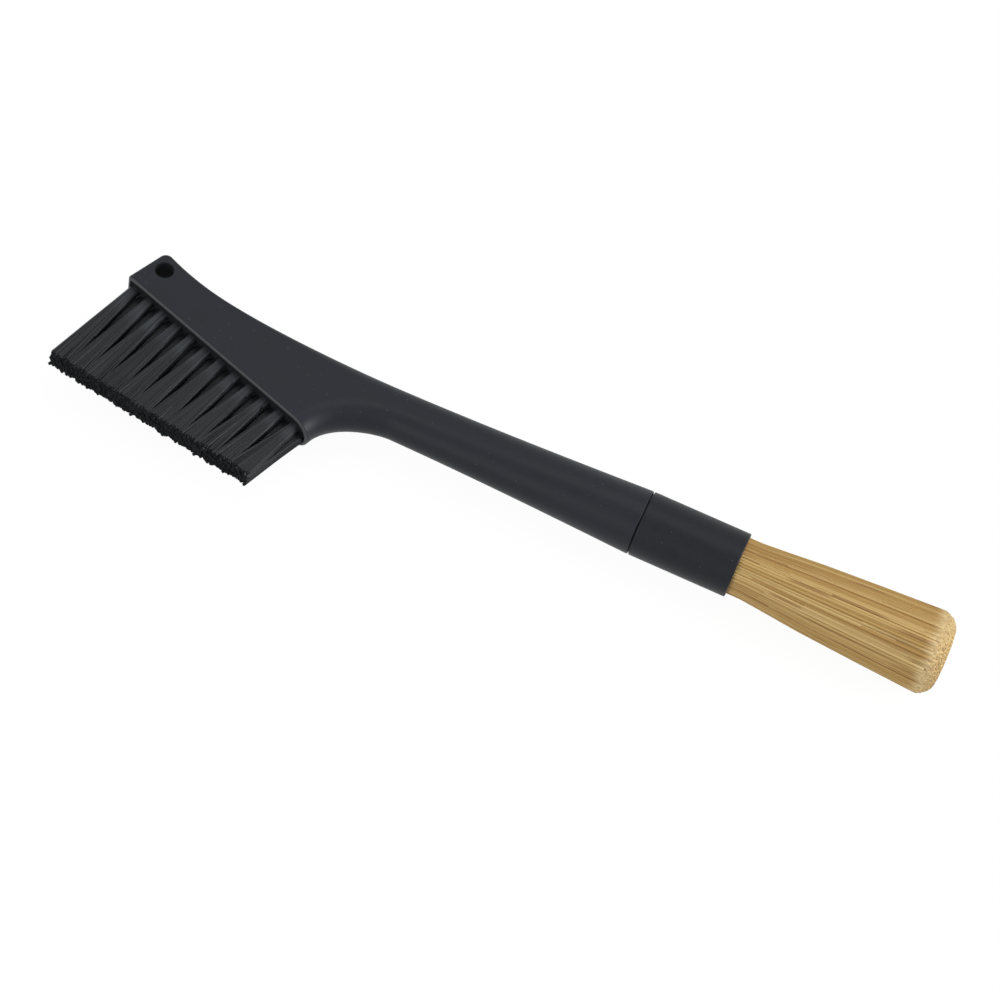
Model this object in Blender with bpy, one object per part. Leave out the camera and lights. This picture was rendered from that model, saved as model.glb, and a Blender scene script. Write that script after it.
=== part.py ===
"""Coffee grinder brush: a black moulded handle with a flat tufted head at one end and, at the
other, a round brush of natural bristle held in a collar. Lengths are in metres, +Z is up.

The handle's round grip lies along X. While it is modelled, X = 0 is the seam between the grip
and the collar, +X points to the natural bristles and +Y to the back of the head. The rim is the
long open edge of the head that holds the tufts. Its own frame has x along the rim from the
outer end, y into the head and z through the thickness."""

import math
import random

import bmesh
import bpy
from mathutils import Matrix, Vector

MM = 0.001

# The grip, round from the neck to the seam, and the spigot that the collar is pressed on to
GRIP_DIAMETER = 18.0 * MM  # at the seam
GRIP_LENGTH = 70.0 * MM  # from the neck to the seam
GRIP_FLARE_AT_NECK = 0.01  # rise of the radius for each metre of length
GRIP_FLARE_AT_SEAM = 0.045
SPIGOT_LENGTH = 10.0 * MM
SPIGOT_CHAMFER = 0.6 * MM
SEAM_FILLET = 0.3 * MM

# The head, a flat slab as thick as the neck, whose back edge grows rounder towards the neck
HEAD_THICKNESS = 11.5 * MM
NECK_WIDTH = 13.9 * MM  # of the neck's section, whose ends are half rounds
HEAD_HEIGHT = 13.7 * MM  # from the rim to the corner at the outer end
OUTER_WALL_LEAN = 1.1 * MM  # how far the outer wall leans in over that height
CORNER_RADIUS = 2.2 * MM
EDGE_RADIUS = 1.0 * MM  # of the flat face's edges at the outer end
EDGE_FLOW_LENGTH = 55.0 * MM  # length over which that edge turns into the round neck
BACK_ANGLE = 24.6  # degrees, the slope of the back edge where it leaves the corner
BACK_PULL_AT_CORNER = 23.4 * MM  # handles of the back edge's curve
BACK_PULL_AT_NECK = 33.6 * MM
BACK_SLOPE_AT_NECK = 0.02
THROAT_STRAIGHT = 1.5 * MM
THROAT_PULL_AT_RIM = 8.3 * MM  # handles of the throat's curve
THROAT_PULL_AT_NECK = 4.4 * MM

# The rim
RIM_LENGTH = 67.3 * MM
RIM_ANGLE = 18.9  # degrees between the rim and the grip's axis
RIM_END_BEFORE_NECK = 18.8 * MM  # where the rim ends, measured along the grip's axis
RIM_END_BELOW_AXIS = 19.3 * MM
RIM_FILLET = 0.35 * MM
LIP = 1.0 * MM  # width of the lip round the recess
RECESS_DEPTH = 0.5 * MM
RECESS_CORNER = 0.8 * MM

# Two rows of tufts, the second set off by half a pitch
TUFTS_PER_ROW = 12
FIRST_TUFT = 2.5 * MM  # from the outer end of the rim to the axis of the first tuft
LAST_TUFT = 5.0 * MM  # from the axis of a row's last tuft to the handle end of the rim
LAST_TUFT_INSET = 2.3 * MM  # how much more the first row keeps from that end
ROW_HEIGHT = 1.2 * MM  # of each row from the middle plane
TUFT_DIAMETER = 2.3 * MM
TUFT_GAP = 0.25 * MM  # between a tuft or a staple and what holds it
TUFT_HOLE_DEPTH = 4.2 * MM
TRIM_AT_OUTER_END = 31.7 * MM  # how far the trimmed tips stand out of the rim
TRIM_AT_HANDLE_END = 19.2 * MM
TIP_MARGIN_OUTER = 3.1 * MM  # the tips' ends, measured in from the ends of the rim
TIP_MARGIN_HANDLE = 2.8 * MM
TIP_HEIGHT = 2.8 * MM  # of the tips' outer side from the middle plane
TIP_PARTING = 0.3 * MM  # between the tips of neighbouring tufts
TUFT_GRID = 3  # strands along each side of a tuft
RAGGED_TRIM = 0.4 * MM

# The flat wire staple that holds each folded tuft in its hole
STAPLE_THICKNESS = 0.35 * MM
STAPLE_HEIGHT = 1.2 * MM
STAPLE_SEAT = 0.9 * MM  # bristle left below the staple

# The hanging hole
HANG_HOLE_DIAMETER = 5.0 * MM
HANG_HOLE_FROM_END = 5.2 * MM
HANG_HOLE_WEB = 1.4 * MM  # wall left between it and the tufts' holes
HANG_HOLE_FILLET = 0.2 * MM

# The collar, the resin behind the bristles and the natural bristles
COLLAR_LENGTH = 27.9 * MM
COLLAR_WALL = 1.1 * MM
COLLAR_FILLET = 0.35 * MM
FIT_GAP = 0.3 * MM  # between pieces that touch
RESIN_THICKNESS = 4.0 * MM
RESIN_CHAMFER = 0.4 * MM
BRISTLE_SETBACK = 1.5 * MM  # of the strands' roots behind the collar's mouth
BRISTLE_LENGTH = 59.1 * MM  # from the collar's mouth to the tips
BRISTLE_TIP_DIAMETER = 23.1 * MM
BRISTLE_TIP_ROUND = 6.0 * MM
BRISTLE_END_SLANT = 0.05  # the tips reach further on the tufts' side, for each metre across
BRISTLE_LEAN = 0.5 * MM  # of the tips off the axis, to that side
BRISTLE_COLUMNS = 14
BRISTLE_ROWS = 13
RAGGED_TIPS = 0.5 * MM

# Facets
QUARTER_STEPS = 8  # in a quarter of the grip's section
GRIP_STATIONS = 7
BACK_STATIONS = 12
THROAT_STATIONS = 8
CORNER_STATIONS = 5
FILLET_STEPS = 2
TURNED_STEPS = 40
HOLE_STEPS = 14
WELD = 0.001 * MM
STRAND_GAP_SHARE = 0.09  # of a strand's cell, left free on each side
SEED = 7
SHARP_ANGLE = 35  # degrees between faces, above which their edge is drawn sharp

# Colour and roughness
BLACK_PLASTIC = ((0.030, 0.031, 0.034), 0.5)
BLACK_NYLON = ((0.022, 0.022, 0.024), 0.4)
NATURAL_BRISTLE = ((0.52, 0.35, 0.15), 0.6)
CURED_RESIN = ((0.35, 0.22, 0.08), 0.3)
STAPLE_WIRE = ((0.55, 0.54, 0.52), 0.35)

HALF = HEAD_THICKNESS / 2
NECK_HALF_WIDTH = NECK_WIDTH / 2
GRIP_RADIUS = GRIP_DIAMETER / 2
BORE_RADIUS = GRIP_RADIUS - COLLAR_WALL
CORE_RADIUS = BORE_RADIUS - FIT_GAP  # of all that fills the collar
TUFT_RADIUS = TUFT_DIAMETER / 2
TUFT_HOLE_END = RECESS_DEPTH + TUFT_HOLE_DEPTH
HANG_HOLE_RADIUS = HANG_HOLE_DIAMETER / 2

RIM_ALONG = Vector((math.cos(math.radians(RIM_ANGLE)), -math.sin(math.radians(RIM_ANGLE))))
RIM_INWARD = Vector((-RIM_ALONG.y, RIM_ALONG.x))
RIM_END = Vector((-GRIP_LENGTH - RIM_END_BEFORE_NECK, -RIM_END_BELOW_AXIS))
RIM_START = RIM_END - RIM_ALONG * RIM_LENGTH


def principled(name, colour, roughness):
    material = bpy.data.materials.new(name)
    material.use_nodes = True
    shader = material.node_tree.nodes["Principled BSDF"]
    shader.inputs["Base Color"].default_value = (*colour, 1)
    shader.inputs["Roughness"].default_value = roughness
    material.diffuse_color = (*colour, 1)
    return material


def steel(name):
    material = principled(name, *STAPLE_WIRE)
    material.node_tree.nodes["Principled BSDF"].inputs["Metallic"].default_value = 1
    material.metallic = 1
    return material


def add_empty(name, parent=None):
    empty = bpy.data.objects.new(name, None)
    empty.parent = parent
    bpy.context.scene.collection.objects.link(empty)
    return empty


def add_object(name, mesh, parent, material=None):
    obj = bpy.data.objects.new(name, mesh)
    obj.parent = parent
    bpy.context.scene.collection.objects.link(obj)
    if material:
        mesh.materials.append(material)
        mesh.shade_smooth()
        mesh.set_sharp_from_angle(angle=math.radians(SHARP_ANGLE))
    return obj


def mesh_of(bm, name):
    """The bmesh as a mesh with its points welded and its faces pointing out."""
    bmesh.ops.remove_doubles(bm, verts=bm.verts, dist=WELD)
    bmesh.ops.recalc_face_normals(bm, faces=bm.faces)
    mesh = bpy.data.meshes.new(name)
    bm.to_mesh(mesh)
    bm.free()
    return mesh


def make_cutter(obj):
    obj.hide_render = True
    obj.display_type = "WIRE"
    return obj


def cut(obj, cutter):
    modifier = obj.modifiers.new(cutter.name, "BOOLEAN")
    modifier.operation = "DIFFERENCE"
    modifier.object = cutter


def screw_mesh(name, outline, closed):
    """A mesh that turns an outline of (radius, height) about Z. An open one ends on the axis."""
    bm = bmesh.new()
    points = [bm.verts.new((radius, 0, height)) for radius, height in outline]
    ends = points[1:] + points[:1] if closed else points[1:]
    edges = [bm.edges.new(pair) for pair in zip(points, ends)]
    bmesh.ops.spin(
        bm,
        geom=points + edges,
        axis=(0, 0, 1),
        cent=(0, 0, 0),
        angle=math.tau,
        steps=TURNED_STEPS,
        use_merge=True,
    )
    return mesh_of(bm, name)


def corner_arc(radius, height, fillet, start, end):
    """Points of a quarter round in a turned outline, between two angles in degrees."""
    points = []
    for step in range(FILLET_STEPS + 1):
        angle = math.radians(start + (end - start) * step / FILLET_STEPS)
        points.append((radius + fillet * math.cos(angle), height + fillet * math.sin(angle)))
    return points


def bezier(start, start_handle, end_handle, end, share):
    rest = 1 - share
    point = rest**3 * start + 3 * rest**2 * share * start_handle
    point += 3 * rest * share**2 * end_handle + share**3 * end
    along = rest**2 * (start_handle - start) + 2 * rest * share * (end_handle - start_handle)
    along += share**2 * (end - end_handle)
    return point, along.normalized()


def right_of(along):
    return Vector((along.y, -along.x))


def smooth(share):
    share = min(max(share, 0), 1)
    return share * share * (3 - 2 * share)


def rim_point(x, y):
    return RIM_START + RIM_ALONG * x + RIM_INWARD * y


def edge_profile(point, outward, half, radius):
    """Points round one edge of a slab, from its lower face over its side to its upper face."""
    points = []
    for side in (-1, 1):
        for step in range(QUARTER_STEPS + 1):
            turn = step if side > 0 else QUARTER_STEPS - step
            angle = math.radians(90) * turn / QUARTER_STEPS
            place = point - outward * radius * (1 - math.cos(angle))
            height = half - radius + radius * math.sin(angle)
            points.append(Vector((place.x, place.y, side * height)))
    return points


def throat_stations():
    """The slab's edge from the handle end of the rim through the throat to the neck."""
    start = rim_point(RIM_LENGTH, THROAT_STRAIGHT)
    neck = Vector((-GRIP_LENGTH, -NECK_HALF_WIDTH))
    pulls = (start + RIM_INWARD * THROAT_PULL_AT_RIM, neck - Vector((THROAT_PULL_AT_NECK, 0)))
    stations = [(rim_point(RIM_LENGTH, RIM_FILLET), RIM_ALONG, HALF), (start, RIM_ALONG, HALF)]
    for step in range(1, THROAT_STATIONS):
        point, along = bezier(start, *pulls, neck, step / THROAT_STATIONS)
        stations.append((point, right_of(along), HALF))
    stations.append((neck, Vector((0, -1)), HALF))
    return stations


def edge_radius_at(point):
    share = 1 + (point.x + GRIP_LENGTH) / EDGE_FLOW_LENGTH
    return EDGE_RADIUS + (HALF - EDGE_RADIUS) * smooth(share)


def back_stations():
    """The slab's edge from the neck over the back and the outer corner to the rim."""
    neck = Vector((-GRIP_LENGTH, NECK_HALF_WIDTH))
    corner = rim_point(OUTER_WALL_LEAN, HEAD_HEIGHT)
    wall = (rim_point(0, 0) - corner).normalized()
    slope = math.radians(BACK_ANGLE)
    back = Vector((-math.cos(slope), math.sin(slope)))
    turn = back.angle(wall)
    reach = CORNER_RADIUS * math.tan(turn / 2)
    start = corner - back * reach
    pulls = (
        neck - Vector((1, BACK_SLOPE_AT_NECK)) * BACK_PULL_AT_NECK,
        start - back * BACK_PULL_AT_CORNER,
    )
    stations = [(neck, Vector((0, 1)), HALF)]
    for step in range(1, BACK_STATIONS):
        point, along = bezier(neck, *pulls, start, step / BACK_STATIONS)
        stations.append((point, right_of(along), edge_radius_at(point)))
    centre = start - right_of(back) * CORNER_RADIUS
    for step in range(CORNER_STATIONS + 1):
        outward = right_of(back).copy()
        outward.rotate(Matrix.Rotation(turn * step / CORNER_STATIONS, 2))
        stations.append((centre + outward * CORNER_RADIUS, outward, EDGE_RADIUS))
    foot = rim_point(OUTER_WALL_LEAN * RIM_FILLET / HEAD_HEIGHT, RIM_FILLET)
    stations.append((foot, -RIM_ALONG, EDGE_RADIUS))
    return stations


def rim_loop(inset, depth, corner):
    """The outline of the rim, drawn in by an inset, at a depth below the lip."""
    start = OUTER_WALL_LEAN * depth / HEAD_HEIGHT + inset
    half = HALF - inset
    handle_end = edge_profile(rim_point(RIM_LENGTH - inset, depth), RIM_ALONG, half, half)
    outer_end = edge_profile(rim_point(start, depth), -RIM_ALONG, half, corner)
    return handle_end + outer_end[::-1]


def grip_loop(x, half_width, radius):
    """A section of the grip with half round sides, whose points match the slab's at the neck."""
    front = edge_profile(Vector((x, -half_width)), Vector((0, -1)), radius, radius)
    back = edge_profile(Vector((x, half_width)), Vector((0, 1)), radius, radius)
    return front + back[::-1]


def round_loop(x, radius):
    return grip_loop(x, radius, radius)


def grip_radius(at_neck, share):
    """A radius of the grip from the neck, share 0, to the seam, share 1, as a Hermite curve."""
    square, cube = share**2, share**3
    flare = (cube - 2 * square + share) * GRIP_FLARE_AT_NECK
    flare += (cube - square) * GRIP_FLARE_AT_SEAM
    rise = 3 * square - 2 * cube
    return at_neck + (GRIP_RADIUS - at_neck) * rise + flare * GRIP_LENGTH


def grip_loops():
    """Sections from the neck to the seam, over its rounded edge and along the spigot."""
    loops = []
    shoulder = -FIT_GAP / 2
    last = shoulder - SEAM_FILLET
    for step in range(GRIP_STATIONS + 1):
        share = step / GRIP_STATIONS
        x = -GRIP_LENGTH + (GRIP_LENGTH + last) * share
        width = grip_radius(NECK_HALF_WIDTH, share)
        loops.append(grip_loop(x, width, grip_radius(HALF, share)))
    for step in range(1, FILLET_STEPS + 1):
        angle = math.radians(90) * step / FILLET_STEPS
        x = last + SEAM_FILLET * math.sin(angle)
        loops.append(round_loop(x, GRIP_RADIUS - SEAM_FILLET * (1 - math.cos(angle))))
    loops.append(round_loop(shoulder, CORE_RADIUS))
    loops.append(round_loop(SPIGOT_LENGTH - SPIGOT_CHAMFER, CORE_RADIUS))
    loops.append(round_loop(SPIGOT_LENGTH, CORE_RADIUS - SPIGOT_CHAMFER))
    return loops


def bridge(bm, first, second, closed):
    """Quads between two rows of points that match one to one."""
    count = len(first)
    for index in range(count if closed else count - 1):
        after = (index + 1) % count
        corners = [first[index], first[after], second[after], second[index]]
        bm.faces.new(corners)


def make_handle(parent, material):
    bm = bmesh.new()
    throat = [
        [bm.verts.new(point) for point in edge_profile(place, outward, HALF, radius)]
        for place, outward, radius in throat_stations()
    ]
    back = [
        [bm.verts.new(point) for point in edge_profile(place, outward, HALF, radius)]
        for place, outward, radius in back_stations()
    ]
    for chain in (throat, back):
        for first, second in zip(chain, chain[1:]):
            bridge(bm, first, second, closed=False)
    for end in (0, -1):
        bm.faces.new([profile[end] for profile in throat + back])

    neck = throat[-1] + back[0][::-1]
    for points in grip_loops()[1:]:
        loop = [bm.verts.new(point) for point in points]
        bridge(bm, neck, loop, closed=True)
        neck = loop
    bm.faces.new(neck)

    rim = throat[0] + back[-1][::-1]
    steps = []
    for step in range(1, FILLET_STEPS + 1):
        angle = math.radians(90) * step / FILLET_STEPS
        inset = RIM_FILLET * (1 - math.cos(angle))
        steps.append((inset, RIM_FILLET * (1 - math.sin(angle)), EDGE_RADIUS - inset))
    steps.append((LIP, 0, RECESS_CORNER))
    steps.append((LIP, RECESS_DEPTH, RECESS_CORNER))
    for inset, depth, corner in steps:
        loop = [bm.verts.new(point) for point in rim_loop(inset, depth, corner)]
        bridge(bm, rim, loop, closed=True)
        rim = loop
    bm.faces.new(rim)
    return add_object("handle", mesh_of(bm, "handle"), parent, material)


def tuft_places():
    """Row, x along the rim and height of each tuft's axis."""
    first_row_last = RIM_LENGTH - LAST_TUFT
    second_row_last = first_row_last + LAST_TUFT_INSET
    pitch = (first_row_last - FIRST_TUFT) / (TUFTS_PER_ROW - 1)
    places = []
    for index in range(TUFTS_PER_ROW):
        x = FIRST_TUFT + index * pitch
        places.append(("front", index, x, ROW_HEIGHT))
        places.append(("back", index, min(x + pitch / 2, second_row_last), -ROW_HEIGHT))
    return places


def make_tuft_hole_cutter(parent, places):
    bm = bmesh.new()
    start = RECESS_DEPTH / 2  # in the open recess
    length = TUFT_HOLE_END - start
    for _, _, x, height in places:
        turn = Matrix.Rotation(math.radians(-90), 4, "X")
        bmesh.ops.create_cone(
            bm,
            cap_ends=True,
            segments=HOLE_STEPS,
            radius1=TUFT_RADIUS + TUFT_GAP,
            radius2=TUFT_RADIUS + TUFT_GAP,
            depth=length,
            matrix=Matrix.Translation((x, start + length / 2, height)) @ turn,
        )
    return make_cutter(add_object("tuft_hole_cutter", mesh_of(bm, "tuft_holes"), parent))


def make_hang_hole_cutter(parent):
    """A drill for the hanging hole that widens into a rounded lip at each face."""
    radius = HANG_HOLE_RADIUS
    top = HALF - HANG_HOLE_FILLET
    lip = radius + HANG_HOLE_FILLET
    upper = []
    for step in range(FILLET_STEPS + 1):
        angle = math.radians(90) * (1 - step / FILLET_STEPS)
        height = top + HANG_HOLE_FILLET * math.sin(angle)
        upper.append((lip - HANG_HOLE_FILLET * math.cos(angle), height))
    clear = HALF + HANG_HOLE_FILLET
    outline = [(0, clear), (lip, clear), *upper]
    outline += [(width, -height) for width, height in reversed(outline)]
    cutter = add_object("hang_hole_cutter", screw_mesh("hang_hole", outline, False), parent)
    cutter.location = (HANG_HOLE_FROM_END, TUFT_HOLE_END + HANG_HOLE_WEB + radius, 0)
    return make_cutter(cutter)


def disc_point(u, v):
    """A point of the square from -1 to 1 moved into the unit disc."""
    return u * math.sqrt(1 - v * v / 2), v * math.sqrt(1 - u * u / 2)


def strand_mesh(name, columns, rows, ragged, chance, place):
    """Strands on a slice of their backing. A grid on the square from -1 to 1 is the slice's face,
    each of its cells carries a strand, and place(u, v, reach, extra) moves every point to its
    seat: reach is -1 at the back of the slice, 0 at its face and 1 at the tips."""
    bm = bmesh.new()
    bmesh.ops.create_grid(bm, x_segments=columns, y_segments=rows, size=1)
    cells = list(bm.faces)
    side = [edge for edge in bm.edges if edge.is_boundary]
    backs = bmesh.ops.extrude_edge_only(bm, edges=side)["geom"]
    for vert in backs:
        if isinstance(vert, bmesh.types.BMVert):
            vert.co.z = -1
    bmesh.ops.contextual_create(
        bm, geom=[edge for edge in backs if isinstance(edge, bmesh.types.BMEdge)]
    )
    gap = STRAND_GAP_SHARE * 2 / max(columns, rows)
    bmesh.ops.inset_individual(bm, faces=cells, thickness=gap)
    tips = bmesh.ops.extrude_discrete_faces(bm, faces=cells)["faces"]
    extra = {}
    for face in tips:
        shift = chance.uniform(-ragged, ragged)
        for vert in face.verts:
            vert.co.z = 1
            extra[vert] = shift
    for vert in bm.verts:
        vert.co = place(*vert.co, extra.get(vert, 0))
    return mesh_of(bm, name)


def tuft_mesh(name, index, x, height, chance):
    """One tuft in its own frame: the origin is on its axis, level with the recess's floor."""
    side = math.copysign(1, height)
    width = (RIM_LENGTH - TIP_MARGIN_OUTER - TIP_MARGIN_HANDLE) / TUFTS_PER_ROW
    tip_x = TIP_MARGIN_OUTER + (index + 0.5) * width - x
    tip_half_width = (width - TIP_PARTING) / 2
    tip_half_height = (TIP_HEIGHT - TIP_PARTING / 2) / 2
    tip_z = side * (TIP_PARTING / 2 + tip_half_height) - height
    plug = TUFT_HOLE_DEPTH - TUFT_GAP

    def place(u, v, reach, extra):
        disc_x, disc_z = disc_point(u, v)
        root_x, root_z = disc_x * TUFT_RADIUS, disc_z * TUFT_RADIUS
        if reach <= 0:
            return Vector((root_x, -reach * plug, root_z))
        along = tip_x + u * tip_half_width
        across = tip_z + v * tip_half_height
        share = (x + along) / RIM_LENGTH
        trim = TRIM_AT_OUTER_END + (TRIM_AT_HANDLE_END - TRIM_AT_OUTER_END) * share
        return Vector((along, -RECESS_DEPTH - trim - extra, across))

    return strand_mesh(name, TUFT_GRID, TUFT_GRID, RAGGED_TRIM, chance, place)


def box_mesh(name, width, depth, height):
    bm = bmesh.new()
    bmesh.ops.create_cube(bm, size=1)
    bmesh.ops.scale(bm, vec=(width, depth, height), verts=bm.verts)
    return mesh_of(bm, name)


def make_tufts(parent, places, nylon, wire):
    """The tufts, each folded round its staple at the bottom of its hole."""
    chance = random.Random(SEED)
    staple_y = TUFT_HOLE_DEPTH - TUFT_GAP - STAPLE_SEAT - STAPLE_HEIGHT / 2
    staple = box_mesh("staple", TUFT_DIAMETER, STAPLE_HEIGHT, STAPLE_THICKNESS)
    window = box_mesh(
        "staple_window",
        2 * TUFT_DIAMETER,
        STAPLE_HEIGHT + 2 * TUFT_GAP,
        STAPLE_THICKNESS + 2 * TUFT_GAP,
    )
    for row, index, x, height in places:
        seat = add_empty(f"{row}_seat_{index + 1}", parent)
        seat.location = (x, RECESS_DEPTH, height)
        name = f"{row}_tuft_{index + 1}"
        tuft = add_object(name, tuft_mesh(name, index, x, height, chance), seat, nylon)
        pin = add_object(f"{row}_staple_{index + 1}", staple, seat)
        pin.location.y = staple_y
        cutter = make_cutter(add_object(f"{row}_window_{index + 1}", window, seat))
        cutter.location.y = staple_y
        cut(tuft, cutter)
    staple.materials.append(wire)


def make_collar(parent, material):
    """The tube over the spigot and the bristles' roots."""
    start, end = FIT_GAP / 2, COLLAR_LENGTH
    round_radius = GRIP_RADIUS - COLLAR_FILLET
    outline = corner_arc(round_radius, end - COLLAR_FILLET, COLLAR_FILLET, 90, 0)
    outline += corner_arc(round_radius, start + COLLAR_FILLET, COLLAR_FILLET, 0, -90)
    outline += [(BORE_RADIUS, start), (BORE_RADIUS, end)]
    return add_object("collar", screw_mesh("collar", outline, True), parent, material)


def make_resin_plug(parent, material):
    """The cured resin between the spigot and the bristles' roots."""
    start = SPIGOT_LENGTH + FIT_GAP
    end = start + RESIN_THICKNESS
    inner = CORE_RADIUS - RESIN_CHAMFER
    outline = [(0, end), (inner, end), (CORE_RADIUS, end - RESIN_CHAMFER)]
    outline += [(CORE_RADIUS, start + RESIN_CHAMFER), (inner, start), (0, start)]
    return add_object("resin_plug", screw_mesh("resin_plug", outline, False), parent, material)


def make_natural_bristles(parent, material):
    face = COLLAR_LENGTH - BRISTLE_SETBACK
    back = SPIGOT_LENGTH + 2 * FIT_GAP + RESIN_THICKNESS
    tip_radius = BRISTLE_TIP_DIAMETER / 2
    flat = tip_radius - BRISTLE_TIP_ROUND
    end = COLLAR_LENGTH + BRISTLE_LENGTH

    def place(u, v, reach, extra):
        disc = Vector(disc_point(u, v))
        if reach <= 0:
            root = disc * CORE_RADIUS
            return Vector((root.x, root.y, face + reach * (face - back)))
        tip = disc * tip_radius
        beyond = max(disc.length * tip_radius - flat, 0)
        drop = BRISTLE_TIP_ROUND - math.sqrt(max(BRISTLE_TIP_ROUND**2 - beyond**2, 0))
        slant = tip.y * BRISTLE_END_SLANT
        return Vector((tip.x, tip.y - BRISTLE_LEAN, end - drop - slant - abs(extra)))

    chance = random.Random(SEED)
    mesh = strand_mesh(
        "natural_bristles", BRISTLE_COLUMNS, BRISTLE_ROWS, RAGGED_TIPS, chance, place
    )
    return add_object("natural_bristles", mesh, parent, material)


def stand_on_origin(frame):
    """Moves the whole brush so that the middle of the bottom of its box is the origin."""
    bpy.context.view_layer.update()
    graph = bpy.context.evaluated_depsgraph_get()
    points = []
    for obj in bpy.context.scene.objects:
        if obj.type == "MESH" and not obj.hide_render:
            evaluated = obj.evaluated_get(graph)
            points += [evaluated.matrix_world @ vert.co for vert in evaluated.data.vertices]
    low = Vector(map(min, *points))
    high = Vector(map(max, *points))
    frame.location = (-(low.x + high.x) / 2, -(low.y + high.y) / 2, -low.z)


def main():
    for obj in list(bpy.data.objects):
        bpy.data.objects.remove(obj)
    black = principled("moulded_black_plastic", *BLACK_PLASTIC)
    nylon = principled("black_nylon", *BLACK_NYLON)
    bristle = principled("natural_bristle", *NATURAL_BRISTLE)
    resin = principled("cured_resin", *CURED_RESIN)
    wire = steel("staple_wire")

    frame = add_empty("brush")
    handle = make_handle(frame, black)
    rim = add_empty("rim", frame)
    rim.location = (RIM_START.x, RIM_START.y, 0)
    rim.rotation_euler.z = math.radians(-RIM_ANGLE)
    places = tuft_places()
    cut(handle, make_tuft_hole_cutter(rim, places))
    cut(handle, make_hang_hole_cutter(rim))
    make_tufts(rim, places, nylon, wire)

    barrel = add_empty("barrel", frame)  # turned pieces stand along its Z, the brush's +X
    barrel.rotation_euler.y = math.radians(90)
    make_collar(barrel, black)
    make_resin_plug(barrel, resin)
    make_natural_bristles(barrel, bristle)
    stand_on_origin(frame)


main()
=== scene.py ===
# Double-ended grinder brush: a moulded black handle with a tufted nylon head at one end
# and a round brush of natural bristle in a collar at the other.
# Lengths in the dictionaries are millimetres and angles are degrees.
import math
from functools import partial

import bmesh
import bpy
from mathutils import Matrix, Vector


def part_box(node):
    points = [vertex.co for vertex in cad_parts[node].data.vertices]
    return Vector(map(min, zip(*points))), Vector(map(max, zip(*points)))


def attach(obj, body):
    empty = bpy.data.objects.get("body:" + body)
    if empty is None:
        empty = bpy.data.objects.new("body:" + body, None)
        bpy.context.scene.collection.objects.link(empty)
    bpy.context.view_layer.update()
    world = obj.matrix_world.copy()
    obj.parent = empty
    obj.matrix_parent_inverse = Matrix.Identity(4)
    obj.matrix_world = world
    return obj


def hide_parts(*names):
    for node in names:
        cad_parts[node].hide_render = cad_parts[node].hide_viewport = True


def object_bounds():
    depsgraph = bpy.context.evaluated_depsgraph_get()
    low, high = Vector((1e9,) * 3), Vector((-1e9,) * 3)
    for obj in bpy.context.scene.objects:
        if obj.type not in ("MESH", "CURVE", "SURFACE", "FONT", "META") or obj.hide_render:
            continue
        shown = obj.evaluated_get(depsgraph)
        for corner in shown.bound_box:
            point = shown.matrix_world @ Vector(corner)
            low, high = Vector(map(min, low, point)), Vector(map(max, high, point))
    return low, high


print("frame: loading the packed model")
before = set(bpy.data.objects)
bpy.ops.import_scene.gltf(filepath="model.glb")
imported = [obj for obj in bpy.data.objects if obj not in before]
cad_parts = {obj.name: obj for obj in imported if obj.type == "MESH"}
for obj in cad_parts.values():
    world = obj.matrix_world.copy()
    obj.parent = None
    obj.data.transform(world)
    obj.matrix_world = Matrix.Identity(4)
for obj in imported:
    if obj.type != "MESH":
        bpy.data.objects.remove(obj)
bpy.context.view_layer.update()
mm = 0.001
upright = Vector((0, 0, 1))

# The seam between grip and collar is where every piece is measured from
fitGap = 0.3  # between two pieces that touch
collarLow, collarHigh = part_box("collar")
seamPoint = (collarLow + collarHigh) / 2
seamPoint.x = collarLow.x - fitGap / 2 * mm
toWorld = Matrix.Translation(seamPoint) @ Matrix.Scale(mm, 4)

mergeWithin = 0.0005  # points of one mesh that lie closer are one
sharpFrom = 40.0  # faces that meet at a larger angle keep a sharp edge
softStep = {"interpolation_type": "SMOOTHSTEP"}
colourMix = {"data_type": "RGBA"}


def linearColour(hexCode):
    # sRGB hex to the linear values that a shader takes
    channels = [int(hexCode[i : i + 2], 16) / 255 for i in (1, 3, 5)]
    return [c / 12.92 if c <= 0.04045 else ((c + 0.055) / 1.055) ** 2.4 for c in channels] + [1]


def patternScale(spacing):
    # a pattern's scale in Object coordinates, from its real spacing
    return 1 / (spacing * mm)


def setInputs(node, inputs):
    # links each input to an output, or to a node's first output in use, or sets its value
    for key, value in inputs.items():
        if isinstance(value, bpy.types.Node):
            value = next(output for output in value.outputs if output.enabled)
        if isinstance(value, bpy.types.NodeSocket):
            node.id_data.links.new(value, node.inputs[key])
        else:
            node.inputs[key].default_value = value


def addNode(tree, kind, settings=None, inputs=None):
    # a node with its settings, or just its operation, and its inputs
    node = tree.nodes.new(kind)
    settings = {"operation": settings} if isinstance(settings, str) else settings or {}
    for name, value in settings.items():
        setattr(node, name, value)
    setInputs(node, inputs or {})
    return node


def newMaterial(name):
    # the material, what adds nodes to it, and its shader
    material = bpy.data.materials.new(name)
    material.use_nodes = True
    tree = material.node_tree
    return material, partial(addNode, tree), tree.nodes["Principled BSDF"]


def roughnessRange(look):
    # a roughness that varies to both sides of the look's own
    return {
        "To Min": look["roughness"] - look["unevenness"],
        "To Max": look["roughness"] + look["unevenness"],
    }


def finishPiece(piece, slot, *nodes):
    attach(piece, "root")
    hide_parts(*nodes)


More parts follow.
